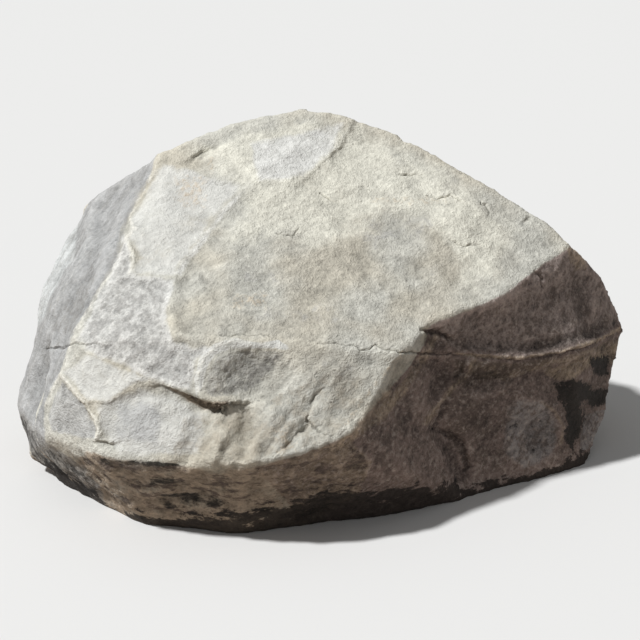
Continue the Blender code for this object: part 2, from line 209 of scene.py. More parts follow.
BACK_FOLDS = {
    "back_seam": (5, [
        (-150, 230, -1), (-128, 190, -3), (-118, 150, -3.5), (-140, 60, -3.5), (-120, 0, -1),
    ]),
    "back_ridge_line": (4, [
        (-260, 150, 0.5), (-180, 176, 2), (-60, 190, 2.5), (40, 186, 2.5), (150, 160, 2), (240, 120, 0.5),
    ]),
}

# Ways that the stone's grain, folds, beds and streaks run.
GRAIN_WAY = Vector((0.70, 0.45, 0.55))
FOLD_WAY = Vector((0.50, 0.20, 0.84))
BED_WAY = Vector((1.0, 0.1, 0.03))
FLANK_WAY = Vector((0.40, 0.25, 0.88))
STREAK_WAY = Vector((0.62, 0.0, -0.78))

# Relief in layers, coarse to fine: what it is drawn from, its size and height in metres, its depth of
# detail, the zone that it is kept to, if any, and the way and how far it is drawn out. Scars are shallow
# scoops with sharp ridges between them, as flakes leave.
RELIEF = (
    ("wide_scars", "SCARS", 0.085, 0.012, 0, "hackly", GRAIN_WAY, 1),
    ("scars", "SCARS", 0.034, 0.007, 0, "hackly", GRAIN_WAY, 1),
    ("beds", "ORIGINAL_PERLIN", 0.013, 0.0045, 2, "bedded", BED_WAY, 2.6),
    ("small_folds", "ORIGINAL_PERLIN", 0.015, 0.0065, 1, "folded", FOLD_WAY, 3.5),
    ("flank_lines", "ORIGINAL_PERLIN", 0.012, 0.0028, 2, "flank", FLANK_WAY, 3),
    ("dents", "IMPROVED_PERLIN", 0.02, 0.0016, 2, "", GRAIN_WAY, 1),
    ("pluck", "ORIGINAL_PERLIN", 0.0085, 0.0022, 2, "grained", GRAIN_WAY, 2.2),
    ("clusters", "VORONOI_F1", 0.014, 0.0042, 1, "crystalline", GRAIN_WAY, 1),
    ("crystals", "VORONOI_F1", 0.006, 0.0015, 1, "crystalline", GRAIN_WAY, 1),
    ("grit", "IMPROVED_PERLIN", 0.0055, 0.0012, 1, "", GRAIN_WAY, 1),
)
WEIGHT_STEPS = 16

# How hackly the stone is where the front's viewer doesn't see it, under the overhangs, on the shaded side
# and everywhere.
HACKLY_BEHIND = 0.6
HACKLY_UNDER = 0.4
HACKLY_DUSK = 0.16
HACKLY_LEAST = 0.08

# Zones of the front and of the back: how far each fades in from its outline, and the outline on the sheet,
# in millimetres.
# The top facet, laid pale, partly as a painted highlight where it faces the light.
TOP_FACET = [(-105, 262), (40, 295), (24, 252), (-22, 208), (-90, 200), (-100, 225)]
FRONT_ZONES = {
    "flank": [(8, [
        (-235, 250), (-246, 215), (-270, 170), (-291, 135), (-299, 86), (-331, 29), (-362, -28),
        (-380, -79), (-403, -126), (-402, -190), (-480, -190), (-480, 150), (-300, 300),
    ])],
    "flank_band": [(7, [
        (-330, 190), (-352, 140), (-362, 90), (-392, 40), (-412, -10), (-470, -30), (-460, 120),
        (-360, 230),
    ])],
    "flank_rough": [(9, [
        (-352, 60), (-335, 100), (-322, 66), (-345, 10), (-362, -28), (-402, -20), (-385, 20),
    ])],
    "chalk": [
        (16, [
            (-235, 235), (-190, 225), (-110, 200), (-169, 120), (-205, 76), (-212, 62), (-287, 63),
            (-274, 95), (-284, 118), (-280, 153), (-262, 185),
        ]),
        (4, [
            (-184, -120), (-186, -85), (-178, -52), (-155, -33), (-123, -26), (-92, -32), (-62, -28),
            (-40, -40), (-48, -46), (-71, -43), (-96, -44), (-129, -44), (-154, -53), (-165, -73),
            (-172, -100),
        ]),
        (10, [(-380, -76), (-344, -44), (-288, -68), (-242, -88), (-267, -94), (-311, -122), (-341, -123)]),
        (18, [
            (-340, -122), (-268, -95), (-215, -105), (-160, -135), (-175, -200), (-300, -205), (-322, -166),
        ]),
        (12, TOP_FACET),
    ],
    "crystalline": [(14, [
        (-272, 70), (-212, 60), (-224, 10), (-214, -30), (-150, -42), (-180, -60), (-186, -110),
        (-240, -92), (-290, -70), (-345, -50), (-360, -30), (-332, 30), (-304, 84), (-294, 132),
        (-280, 120), (-272, 95),
    ])],
    "scar": [(4, [
        (-154, -53), (-129, -44), (-96, -44), (-71, -43), (-48, -46), (-62, -68), (-81, -88), (-103, -106),
        (-135, -115), (-165, -115), (-172, -100), (-165, -73),
    ])],
    # The deeper part of the scar, laid darker.
    "deep_scar": [(11, [
        (-85, -51), (-51, -48), (-66, -73), (-85, -93), (-110, -106), (-140, -113), (-166, -112),
        (-170, -100), (-140, -95), (-106, -76),
    ])],
    "folded": [(14, [
        (-206, -132), (-150, -138), (-88, -118), (15, -66), (81, -88), (29, -176), (-29, -198),
        (-103, -214), (-169, -217), (-228, -206),
    ])],
    # Brown: earth stain of the undercut, and painted shade where the stone overhangs.
    "brown": [
        (4, [(-241, -95), (-216, -102), (-160, -121), (-115, -120), (-153, -136), (-173, -132)]),
        (9, [
            (-345, -190), (-270, -208), (-205, -211), (-170, -220), (-100, -214), (-29, -198), (37, -169),
            (80, -205), (60, -260), (-60, -330), (-300, -300), (-400, -240),
        ]),
        (16, [(110, -60), (132, -40), (100, -90), (40, -166), (-20, -196), (30, -205), (110, -120)]),
        (9, [
            (215, -56), (294, -62), (353, -54), (411, -36), (460, -20), (440, -70), (400, -66), (350, -72),
            (270, -92), (215, -86),
        ]),
    ],
    # The side away from the sun: its dusk coats are partly the stone's purplish brown stain and partly
    # painted shade.
    "dusk": [(8, [
        (370, 112), (331, 85), (294, 59), (276, 40), (250, 24), (191, 3), (164, -8), (146, -44), (130, -68),
        (111, -91), (77, -126), (48, -165), (-29, -199), (-100, -216), (0, -330), (250, -330), (480, -200),
        (500, 60), (430, 140),
    ])],
    "rust": [
        (26, [(-222, 220), (-155, 228), (-158, 155), (-205, 150), (-225, 175)]),
        (10, [(-170, 246), (-150, 240), (-152, 210), (-168, 212)]),
        (7, [(-232, -180), (-219, -180), (-222, -209), (-232, -209)]),
        (22, [(-82, -150), (-40, -140), (-20, -200), (-70, -208)]),
        (12, [(352, -60), (415, -48), (400, -80), (345, -82)]),
        (26, [(-145, 45), (-70, 55), (-60, 10), (-140, 5)]),
        (9, [
            (147, -35), (126, -56), (100, -85), (71, -120), (38, -165), (26, -159), (56, -115), (88, -73),
            (120, -38),
        ]),
        (22, [(60, 190), (215, 190), (180, 160), (70, 165)]),
    ],
    "mottled": [
        (30, [(55, 165), (190, 175), (180, 110), (80, 85), (40, 110)]),
        (24, [(-150, 90), (-40, 85), (-50, 40), (-140, 40)]),
        (30, [(-100, 30), (60, 40), (40, -25), (-130, -15)]),
        (14, [(155, 95), (190, 90), (185, 55), (150, 60)]),
        (8, [(-52, 302), (0, 302), (-5, 284), (-50, 284)]),
        (18, [(-5, -50), (70, -55), (55, -100), (0, -110)]),
    ],
    "lichen": [
        (9, [
            (353, -91), (373, -87), (400, -95), (397, -115), (385, -125), (391, -147), (382, -170),
            (372, -194), (357, -176), (363, -147), (360, -120),
        ]),
        (8, [(345, -91), (361, -97), (366, -129), (353, -126)]),
        (8, [(388, -103), (425, -100), (423, -123), (397, -129)]),
        (8, [(397, -56), (426, -54), (425, -82), (403, -82)]),
    ],
    "black_streaks": [
        (6, [(-256, -231), (-212, -229), (-209, -245), (-253, -247)]),
        (8, [(-253, -264), (-228, -256), (-169, -256), (-118, -263), (-144, -279), (-228, -281)]),
        (4, [(-329, -203), (-241, -206), (-176, -216), (-241, -220), (-326, -216)]),
        (6, [
            (-403, -194), (-385, -214), (-364, -232), (-335, -247), (-311, -270), (-329, -282),
            (-367, -264), (-405, -226),
        ]),
    ],
    "streaked": [(12, [
        (-458, -125), (-432, -135), (-414, -162), (-397, -184), (-373, -194), (-347, -217), (-323, -241),
        (-311, -276), (-353, -282), (-411, -250), (-455, -191),
    ])],
    # Soil: a dark soil stain along the base, with painted contact shade where the stone meets the ground.
    "soil": [
        (20, [
            (-441, -194), (-405, -214), (-379, -238), (-344, -259), (-306, -276), (-272, -281),
            (-228, -286), (-176, -288), (-103, -282), (-51, -267), (-15, -259), (37, -248), (118, -245),
            (176, -241), (220, -238), (294, -228), (353, -209), (397, -188), (430, -160), (520, -400),
            (-520, -400),
        ]),
        (6, [
            (-405, -198), (-385, -217), (-364, -234), (-335, -250), (-311, -272), (-329, -282),
            (-367, -269), (-405, -232),
        ]),
    ],
    "bare": [
        (5, [(388, -141), (405, -132), (422, -129), (417, -162), (400, -188), (382, -198), (383, -173)]),
        (16, [(276, -112), (331, -115), (355, -154), (347, -206), (294, -225), (264, -191)]),
    ],
    # Painted shade: dark dusk over patches of the shaded side, the dark slit and the base, also where the
    # sun reaches them.
    "dim_shade": [
        (28, [
            (173, -112), (209, -65), (247, -65), (238, -88), (267, -106), (256, -185), (209, -194),
            (176, -176),
        ]),
        (12, [(214, -153), (256, -156), (253, -185), (220, -185)]),
        (9, [
            (167, -156), (191, -159), (212, -176), (223, -203), (222, -235), (210, -235), (207, -206),
            (191, -181),
        ]),
        (9, [
            (301, -32), (331, -24), (370, -12), (408, 0), (432, 3), (414, -24), (378, -43), (331, -50),
            (301, -47),
        ]),
        (12, [(214, -135), (244, -129), (257, -154), (247, -182), (226, -176)]),
        (14, [(369, 50), (397, 53), (405, 12), (391, -18), (370, -3)]),
        (12, [(176, -76), (194, -68), (209, -94), (191, -120), (176, -112)]),
        (8, [(150, -21), (167, -9), (203, -15), (223, -29), (214, -43), (182, -44), (153, -38)]),
        (8, [(-335, -203), (-241, -206), (-176, -216), (-235, -226), (-326, -223)]),
    ],
    # Tan: a tan stain, and painted light where light grazes the edge of the shaded side and along the rib's
    # top.
    "tan": [
        (9, [
            (323, -71), (367, -62), (414, -44), (450, -24), (444, -47), (408, -68), (370, -94), (347, -94),
            (331, -84),
        ]),
        (9, [
            (170, -8), (152, -38), (122, -85), (84, -126), (50, -163), (-21, -197), (-26, -212), (36, -192),
            (90, -155), (131, -110), (162, -62), (181, -24),
        ]),
        (4, [
            (198, -46), (228, -48), (294, -51), (353, -43), (408, -24), (451, -1), (451, -15), (411, -36),
            (353, -52), (294, -61), (228, -56), (198, -53),
        ]),
        (12, [(353, 109), (376, 115), (400, 94), (397, 71), (373, 65)]),
        (12, [
            (226, -51), (210, -69), (187, -94), (163, -123), (142, -157), (162, -162), (182, -128),
            (206, -100), (228, -73), (241, -54),
        ]),
        (9, [
            (323, -115), (348, -128), (364, -156), (358, -187), (347, -187), (351, -157), (338, -138),
            (317, -125),
        ]),
    ],
    # Painted shade under the rib, in an olive brown.
    "olive_shade": [(6, [
        (200, -56), (228, -59), (294, -62), (353, -54), (341, -68), (294, -82), (241, -94), (209, -106),
        (188, -88),
    ])],
    # The side above the rib: a lighter dusk, partly stain and partly painted shade.
    "upper_dusk": [(5, [
        (376, 113), (331, 87), (276, 43), (220, 15), (162, -6), (154, -18), (200, -43), (294, -50),
        (353, -40), (411, -22), (447, -3), (444, 29), (417, 76),
    ])],
    "facet_grey": [
        (7, [
            (-379, -88), (-361, -106), (-344, -126), (-329, -150), (-326, -176), (-367, -173), (-397, -165),
            (-403, -140), (-391, -110),
        ]),
        (22, [(-308, -120), (-250, -112), (-223, -135), (-235, -188), (-306, -182)]),
    ],
    "furrow": [(3, [
        (-247, 206), (-267, 176), (-288, 138), (-297, 91), (-317, 50), (-344, 0), (-350, 3), (-325, 53),
        (-306, 91), (-295, 138), (-275, 179), (-254, 207),
    ])],
    # Bright: the whitest skin, with a painted highlight on the top facet and along the rim, where they face
    # the light.
    "bright": [
        (12, TOP_FACET),
        (7, [
            (-100, 200), (-123, 186), (-146, 163), (-174, 125), (-198, 96), (-218, 68), (-204, 62),
            (-187, 88), (-166, 114), (-141, 151), (-118, 176),
        ]),
    ],
    "bleached": [(45, [
        (-206, 250), (-132, 279), (0, 311), (118, 272), (215, 205), (300, 130), (250, 45), (210, 35),
        (176, 118), (103, 145), (15, 100), (-73, 112), (-145, 100), (-118, 191),
    ])],
}
BACK_ZONES = {
    "flank": [(20, [(180, 190), (300, 150), (430, 60), (400, -120), (250, -60), (210, 60)])],
    "chalk": [(40, [(-60, 240), (120, 240), (150, 150), (0, 120), (-120, 160)])],
    "crystalline": [(26, [(-280, 80), (-140, 95), (-110, -20), (-180, -70), (-300, -30)])],
    "rust": [
        (30, [(90, 90), (140, 60), (110, -60), (70, -40)]),
        (26, [(-340, 0), (-280, 10), (-260, -90), (-330, -100)]),
    ],
    "brown": [(26, [
        (-400, -150), (-200, -170), (0, -190), (200, -175), (400, -140), (420, -400), (-420, -400),
    ])],
    "mottled": [
        (40, [(-80, 80), (80, 80), (60, -60), (-90, -40)]),
        (30, [(-330, 160), (-220, 180), (-180, 110), (-300, 90)]),
    ],
    "lichen": [
        (30, [(-60, -150), (60, -140), (90, -200), (-40, -215)]),
        (28, [(290, -70), (340, -50), (360, -120), (300, -140)]),
    ],
}

# The finish's coats, first to last: the zone that each is kept to, its colour, the noise that frays it, how
# firmly the zone holds it, the noise values at which it starts and is full, and the most that is laid on.
COATS = (
    ("bleached", "bleached", "mottle", 0.8, 0.05, 0.5, 0.9),
    ("chalk", "chalk", "mottle", 1.0, 0.1, 0.5, 0.9),
    # The whitest skin, with a painted highlight on the top facet and the rim.
    ("bright", "bright", "clump", 0.8, 0.1, 0.65, 0.8),
    ("mottled", "slate_fleck", "clump", 0.6, 0.42, 0.66, 0.6),
    ("flank", "flank_grey", "mottle", 1.2, 0.0, 0.4, 0.95),
    ("flank_band", "band", "mottle", 0.8, 0.1, 0.4, 0.9),
    ("flank_rough", "deep_grey", "fleck", 0.8, 0.38, 0.6, 0.6),
    ("flank", "slate_fleck", "layers", 0.8, 0.44, 0.66, 0.5),
    ("furrow", "slate_fleck", "fleck", 0.8, 0.2, 0.55, 0.8),
    ("facet_grey", "facet_grey", "mottle", 0.9, 0.1, 0.5, 0.8),
    ("crystalline", "quartz", "mottle", 0.9, 0.05, 0.4, 0.8),
    ("crystalline", "slate_fleck", "clump", 0.8, 0.42, 0.6, 0.8),
    ("crystalline", "deep_grey", "fleck", 0.8, 0.5, 0.64, 0.4),
    ("scar", "slate_fleck", "fleck", 1.0, 0.25, 0.7, 0.65),
    # The deeper part of the scar, laid darker.
    ("deep_scar", "deep_grey", "fleck", 0.7, 0.22, 0.66, 0.75),
    ("rust", "rust", "fleck", 0.7, 0.33, 0.75, 0.6),
    ("folded", "dirt", "clump", 0.7, 0.36, 0.66, 0.65),
    # Dusk coats of the side away from the sun: partly purplish brown stain, partly painted shade.
    ("dusk", "dusk", "mottle", 1.2, 0.0, 0.3, 0.97),
    ("upper_dusk", "upper_dusk", "mottle", 0.9, 0.05, 0.4, 0.9),
    # Brown: earth stain, and painted shade under the overhangs.
    ("brown", "brown", "mottle", 0.9, 0.1, 0.55, 0.92),
    # Painted shade under the rib, in an olive brown.
    ("olive_shade", "olive_shade", "clump", 0.9, 0.15, 0.55, 0.9),
    # Painted shade: dark dusk over patches of the shaded side.
    ("dim_shade", "dusk_dark", "clump", 0.9, 0.05, 0.6, 0.7),
    # Tan stain, with painted grazing light on the shaded edge and the rib.
    ("tan", "tan", "clump", 0.9, 0.2, 0.6, 0.9),
    ("bare", "bare", "mottle", 1.0, 0.05, 0.45, 0.8),
    ("dusk", "dusk_dark", "mottle", 0.9, 0.5, 0.62, 0.55),
    ("dusk", "dusk_dark", "clump", 0.9, 0.48, 0.62, 0.75),
    ("dusk", "dusk_pale", "fleck", 0.9, 0.48, 0.7, 0.6),
    ("brown", "dusk_dark", "bedding", 0.9, 0.5, 0.6, 0.85),
    ("rubbed", "worn_edge", "fleck", 0.7, 0.15, 0.6, 0.75),
    ("streaked", "slate_fleck", "mottle", 0.9, 0.05, 0.4, 0.8),
    ("streaked", "lichen", "streak", 0.8, 0.42, 0.58, 0.75),
    ("black_streaks", "lichen", "bedding", 0.6, 0.36, 0.54, 0.88),
    ("lichen", "lichen", "fleck", 0.42, 0.27, 0.38, 0.92),
    # Soil stain, with painted contact shade at the base.
    ("soil", "soil", "bedding", 0.36, 0.31, 0.4, 0.9),
    # Darker along the cracks.
    ("crack", "crack", "fleck", 0.9, 0.2, 0.9, 0.75),
)
ZONE_NAMES = tuple(dict.fromkeys(coat[0] for coat in COATS))

# The finish's noises: the size of a spot in millimetres, the detail, how strong its finer parts are, and
# the way and how far it is drawn out.
NOISES = {
    "broad": (150, 3, 0.5, GRAIN_WAY, 1),
    "mottle": (30, 5, 0.62, GRAIN_WAY, 1),
    "clump": (14, 4, 0.66, GRAIN_WAY, 1.3),
    "fleck": (7, 4, 0.68, GRAIN_WAY, 1),
    "layers": (16, 5, 0.7, FLANK_WAY, 3.2),
    "grain": (2.8, 2, 0.7, GRAIN_WAY, 1),
    "bedding": (16, 5, 0.7, BED_WAY, 2.2),
    "streak": (10, 5, 0.7, STREAK_WAY, 2.2),
}

# The values of the broad noise between which pale stone turns warm.
WARM_START = 0.4
WARM_FULL = 0.6

# How strongly each noise lightens and darkens the stone, how much more so on the shaded side and less on the
# calm parts, how strongly the relief paints shade into the hollows and a highlight onto the ridges, and how
# much rougher the flecks are than the grain.
SPOTS = {"grain": 0.6, "fleck": 0.75, "clump": 0.95}
STRONGER = {"shady": 0.9, "calm": -0.45}
RELIEF_SHADE = 0.19
FLECK_BUMP = 2.5

# The relief as the finish reads it: the passes of averaging that take off the fine and the broad forms, and
# the heights in millimetres at which each counts in full and at which a ridge is fully rubbed.
FINE_PASSES = 6
BROAD_PASSES = 40
FINE_FULL = 1.2
BROAD_FULL = 4.0
RIDGE_FULL = 3.0
RUBBED_LEAST = 0.6

# Where a face starts to overhang and over what range it turns brown, with earth stain and painted shade
# under the overhang, how much cleaner it is in front, and the height and fade of the soil behind, with soil
# stain and painted contact shade at the base, in metres.
OVERHANG_START = 0.05
OVERHANG_RANGE = 0.4
FRONT_CLEANER = 0.6
SOIL_TOP = 0.055
SOIL_FADE = 0.06

# How much the brown parts count as shady, and the bleached ones as calm.
BROWN_SHADY = 0.7
BLEACHED_CALM = 0.6

CAMERA_LENS = 85.0
CARD_GAP = 0.002
CARD_COLOUR = "#95897f"
FLOOR_COLOUR = "#dfdfde"
SUN_WAY = Vector((-0.56, -0.20, 0.80))

# Where handling and weather rubbed the ridges pale: how far to each side, in millimetres, how strongly at
# each step of a fold's route, and other edges as (x, h, strength).
RUBBED_REACH = 9
RUBBED_FOLDS = {
    "ridge_bright": (0.6, 0.9, 0.9, 1, 1, 1, 1, 1, 1, 0.6),
    "ridge_lower": (0.6, 0.8, 0.8, 0.8, 0.8, 0.8, 1, 1, 0.7),
    "triangle_ridge": (1, 1, 1, 1, 1, 0.8),
    "welt": (0.4, 0.5, 0.5, 0.6, 0.6, 0.5),
    "scoop_rim": (0.8, 1, 1, 1, 1, 0.6),
}
RUBBED_EDGES = (
    [(-380, -80, 1), (-390, -98, 1), (-400, -125, 1), (-406, -152, 0.8)],
    [
        (-103, 198, 0.3), (-123, 181, 0.6), (-144, 157, 0.7), (-169, 120, 0.7), (-191, 93, 0.6),
        (-209, 66, 0.5), (-217, 29, 0.35), (-214, 3, 0.35), (-209, -19, 0.35), (-176, -26, 0.4),
        (-140, -27, 0.4),
    ],
    [(44, 284, 0.8), (32, 262, 0.8), (22, 252, 0.8), (0, 233, 0.7), (-22, 211, 0.5)],
    [(-268, -93, 0.5), (-295, -117, 0.7), (-313, -124, 0.8), (-342, -124, 0.7)],
)


def linear_from_hex(code):
    """The linear colour of an sRGB hex value such as #8a7968."""
    channels = [int(code[i:i + 2], 16) / 255 for i in (1, 3, 5)]
    return tuple(c / 12.92 if c <= 0.04045 else ((c + 0.055) / 1.055) ** 2.4 for c in channels)


def colour_property(name, description, code):
    return FloatVectorProperty(
        name=name, description=description, subtype="COLOR", size=3, min=0.0, max=1.0,
        default=linear_from_hex(code),
    )


class BoulderShape(PropertyGroup):
    """Sizes of the stone's skin and of its relief."""

    sharpen: FloatProperty(
        name="Sharpen", description="How far ridges and valleys are brought back out of the worn skin",
        default=1.2, min=0.0, max=3.0,
    )
    skin_step: FloatProperty(
        name="Skin step", description="Spacing of the first even skin over the block",
        default=0.005, min=0.002, max=0.02, unit="LENGTH", precision=4,
    )
    worn_passes: IntProperty(
        name="Wear passes", description="Smoothing passes that take the facets off the block",
        default=4, min=0, max=30,
    )
    relief: FloatProperty(
        name="Relief", description="Strength of the frost and grain relief", default=1.0, min=0.0, max=3.0,
    )
    most_triangles: IntProperty(
        name="Most triangles", description="The finished stone is thinned to this many triangles",
        default=192000, min=20000, max=199000,
    )


class BoulderColours(PropertyGroup):
    """Colours of weathered quartzite and of what stains it."""

    pale: colour_property("Pale stone", "The sunned, weathered face", "#c2c1b8")
    warm: colour_property("Warm stone", "The beige tone of the broad faces", "#bfbaac")
    chalk: colour_property("Chalk", "Freshly rubbed, nearly white skin", "#d3d3ce")
    bleached: colour_property("Bleached stone", "The most sunned part of the broad face", "#dddbce")
    # The whitest skin, and a painted highlight on the facet and rim that face the light.
    bright: colour_property("Bright skin", "The whitest facet and the worn rim", "#e0e0dc")
    band: colour_property("Flank band", "The pale outer skin of the flank", "#c7cac9")
    flank_grey: colour_property("Flank grey", "The dense grey skin of the flank", "#a8a9a9")
    slate_fleck: colour_property("Slate fleck", "Grey mineral flecks", "#9c9b98")
    # Dark grey, laid in the deeper part of the scar and as flecks.
    deep_grey: colour_property("Deep grey", "The dirty bottom of a fresh scar", "#716e69")
    quartz: colour_property("Quartz", "White quartz grains", "#d6d6d3")
    rust: colour_property("Rust", "Iron stain", "#b9a384")
    dirt: colour_property("Dirt", "Grey brown dirt in the folds", "#8f8779")
    # The dusk colours are partly the side's purplish brown stain and partly painted shade of the side away
    # from the sun.
    dusk: colour_property("Dusk", "The purplish brown side", "#8d7e78")
    dusk_dark: colour_property("Dark dusk", "Dark spots of the side and the undercut", "#5f554f")
    dusk_pale: colour_property("Pale dusk", "Light grains of the side", "#aca29b")
    upper_dusk: colour_property("Upper dusk", "The lighter side above the rib", "#aa9d97")
    # Tan stain, and painted light where light grazes the side's edges and the rib.
    tan: colour_property("Tan", "Earth washed over the side's edges", "#c2b19b")
    # The olive brown painted shade under the rib.
    olive_shade: colour_property("Olive", "Damp stone under the rib", "#5c5147")
    facet_grey: colour_property("Facet grey", "Clean grey facets of the front", "#b6b7b6")
    # Earth stain of the undercut, with painted shade under the overhangs.
    brown: colour_property("Brown", "Earth stain of the undercut", "#a59786")
    bare: colour_property("Bare grey", "Clean grey scars", "#a5a2a2")
    worn_edge: colour_property("Worn edge", "Rubbed ridges and lips", "#dedcd3")
    lichen: colour_property("Lichen", "Black crust lichen", "#292724")
    # Soil stain near the ground, with painted contact shade at the base.
    soil: colour_property("Soil", "Dark soil line near the ground", "#2c2825")
    # The darker colour laid along the cracks.
    crack: colour_property("Crack", "Dirt deep in the cracks", "#5a4f44")


class BoulderStage(PropertyGroup):
    """Floor, light and camera."""

    floor_side: FloatProperty(
        name="Floor side", description="Side of the square floor", default=40.0, min=5.0, unit="LENGTH",
    )
    sun: FloatProperty(name="Sun", description="Strength of the key light", default=3.6, min=0.0)
    sun_spread: FloatProperty(
        name="Sun spread", description="Angle that the key light seems to fill", default=math.radians(4),
        min=0.0, subtype="ANGLE",
    )
    sky: FloatProperty(name="Sky", description="Strength of the soft fill", default=0.24, min=0.0)


def read_points(mesh):
    places = np.empty(len(mesh.vertices) * 3)
    mesh.vertices.foreach_get("co", places)
    normals = np.empty(len(mesh.vertices) * 3)
    mesh.vertices.foreach_get("normal", normals)
    return places.reshape(-1, 3), normals.reshape(-1, 3)


def move_points(mesh, places):
    mesh.vertices.foreach_set("co", places.ravel())
    mesh.update()


def on_sheet(places, view_point):
    """Where the viewer sees each point on the sheet, in millimetres, and the way from it to the viewer."""
    back = (view_point - SHEET_CENTRE).normalized()
    right = Vector((0, 0, 1)).cross(back).normalized()
    up = back.cross(right)
    away = places - np.array(view_point)
    depth = -(away @ np.array(back))
    scale = 1000 * (view_point - SHEET_CENTRE).length / depth
    drawn = np.stack([(away @ np.array(right)) * scale, (away @ np.array(up)) * scale], axis=1)
    return drawn, -away / np.linalg.norm(away, axis=1)[:, None]


def smooth_rise(x):
    x = np.clip(x, 0, 1)
    return x * x * (3 - 2 * x)


def beside_route(drawn, route, reach):
    """For each drawn point, its distance to the route, positive on the route's left, and the route's
    third value at the nearest place. Points further than the reach are left at the reach."""
    corners = np.array([step[:2] for step in route], float)
    low = corners.min(axis=0) - reach
    high = corners.max(axis=0) + reach
    near = np.flatnonzero(((drawn > low) & (drawn < high)).all(axis=1))
    close = drawn[near]
    nearest = np.full(len(near), float(reach))
    side = np.ones(len(near))
    value = np.zeros(len(near))
    for start, end in zip(route, route[1:]):
        first = np.array(start[:2], float)
        along = np.array(end[:2], float) - first
        part = np.clip(((close - first) @ along) / (along @ along), 0, 1)
        gap = close - (first + part[:, None] * along)
        distance = np.linalg.norm(gap, axis=1)
        closer = distance < nearest
        nearest[closer] = distance[closer]
        side[closer] = np.sign(along[0] * gap[:, 1] - along[1] * gap[:, 0])[closer]
        value[closer] = (start[2] + part * (end[2] - start[2]))[closer]
    return near, nearest * side, value


def within(drawn, outline, soft):
    """How far each drawn point lies within the outline: 1 inside past the soft rim, 0 outside it."""
    closed = [tuple(corner) + (0,) for corner in outline] + [tuple(outline[0]) + (0,)]
    amount = np.zeros(len(drawn))
    near, beside, _ = beside_route(drawn, closed, soft)
    inside = np.zeros(len(drawn), bool)
    x, h = drawn[:, 0], drawn[:, 1]
    for (x0, h0), (x1, h1) in zip(outline, outline[1:] + outline[:1]):
        crosses = (h0 > h) != (h1 > h)
        level = h1 - h0 if h1 != h0 else 1.0
        inside ^= crosses & (x < x0 + (h - h0) * (x1 - x0) / level)
    amount[inside] = 1.0
    signed = np.abs(beside) * np.where(inside[near], 1, -1)
    amount[near] = smooth_rise(0.5 + signed / (2 * soft))
    return amount


def write_attribute(mesh, name, values):
    kind = "FLOAT" if values.ndim == 1 else "FLOAT_VECTOR"
    field = "value" if values.ndim == 1 else "vector"
    attribute = mesh.attributes.get(name) or mesh.attributes.new(name, kind, "POINT")
    attribute.data.foreach_set(field, np.ascontiguousarray(values, dtype=np.float32).ravel())


def read_attribute(mesh, name):
    attribute = mesh.attributes[name]
    wide = attribute.data_type == "FLOAT_VECTOR"
    values = np.empty(len(attribute.data) * (3 if wide else 1), dtype=np.float32)
    attribute.data.foreach_get("vector" if wide else "value", values)
    return values.reshape(-1, 3) if wide else values


def make_only(piece):
    """Selects the piece alone and makes it active."""
    bpy.ops.object.select_all(action="DESELECT")
    piece.select_set(True)
    bpy.context.view_layer.objects.active = piece


def finish_modifier(piece, name, kind, settings):
    modifier = piece.modifiers.new(name, kind)
    for setting, value in settings.items():
        setattr(modifier, setting, value)
    bpy.ops.object.modifier_apply(modifier=name)


def copy_block(name):
    """A copy of the block with its loose triangles merged into one skin."""
    piece = bpy.data.objects.new(name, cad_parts["boulder"].data.copy())
    piece.data.materials.clear()
    bpy.context.scene.collection.objects.link(piece)
    make_only(piece)
    bpy.ops.object.mode_set(mode="EDIT")
    bpy.ops.mesh.select_all(action="SELECT")
    bpy.ops.mesh.remove_doubles(threshold=0.00001)
    bpy.ops.mesh.select_all(action="DESELECT")
    bpy.ops.object.mode_set(mode="OBJECT")
    return piece


def even_skin(piece, shape):
    finish_modifier(piece, "even_skin", "REMESH", {"mode": "VOXEL", "voxel_size": shape.skin_step})
    finish_modifier(piece, "worn", "SMOOTH", {"factor": 0.5, "iterations": shape.worn_passes})
    finish_modifier(piece, "finer", "SUBSURF", {"levels": 1})
    places, _ = read_points(piece.data)
    firm = eased(piece.data, places, NOISE_PASSES)
    form = shape.sharpen * (firm - eased(piece.data, firm, FORM_PASSES))
    move_points(piece.data, firm + np.clip(form, -MOST_SHARPENING, MOST_SHARPENING))


def make_fine(piece, bands):
    """Splits the faces that lie close to the routes, so that narrow cracks and lips come out sharp. Each
    band has the routes, how far to each side it reaches in millimetres, and the cuts in each face edge."""
    mesh = piece.data
    for routes, reach, cuts in bands:
        places, _ = read_points(mesh)
        close = np.zeros(len(places), bool)
        for view_point, side_routes in zip((FRONT_VIEW_POINT, BACK_VIEW_POINT), routes):
            drawn, _ = on_sheet(places, view_point)
            facing = (places - np.array(SHEET_CENTRE)) @ np.array(view_point - SHEET_CENTRE) > 0
            for route in side_routes:
                near, beside, _ = beside_route(drawn, route, reach)
                near = near[np.abs(beside) < reach]
                close[near[facing[near]]] = True
        starts = np.empty(len(mesh.polygons), dtype=np.int32)
        mesh.polygons.foreach_get("loop_start", starts)
        corners = np.empty(len(mesh.loops), dtype=np.int32)
        mesh.loops.foreach_get("vertex_index", corners)
        chosen = np.logical_or.reduceat(close[corners], starts)
        make_only(piece)
        bpy.ops.object.mode_set(mode="EDIT")
        bpy.ops.mesh.select_mode(type="FACE")
        bpy.ops.mesh.select_all(action="DESELECT")
        bpy.ops.object.mode_set(mode="OBJECT")
        mesh.polygons.foreach_set("select", chosen)
        bpy.ops.object.mode_set(mode="EDIT")
        bpy.ops.mesh.subdivide(number_cuts=cuts, smoothness=0)
        bpy.ops.mesh.select_all(action="DESELECT")
        bpy.ops.object.mode_set(mode="OBJECT")


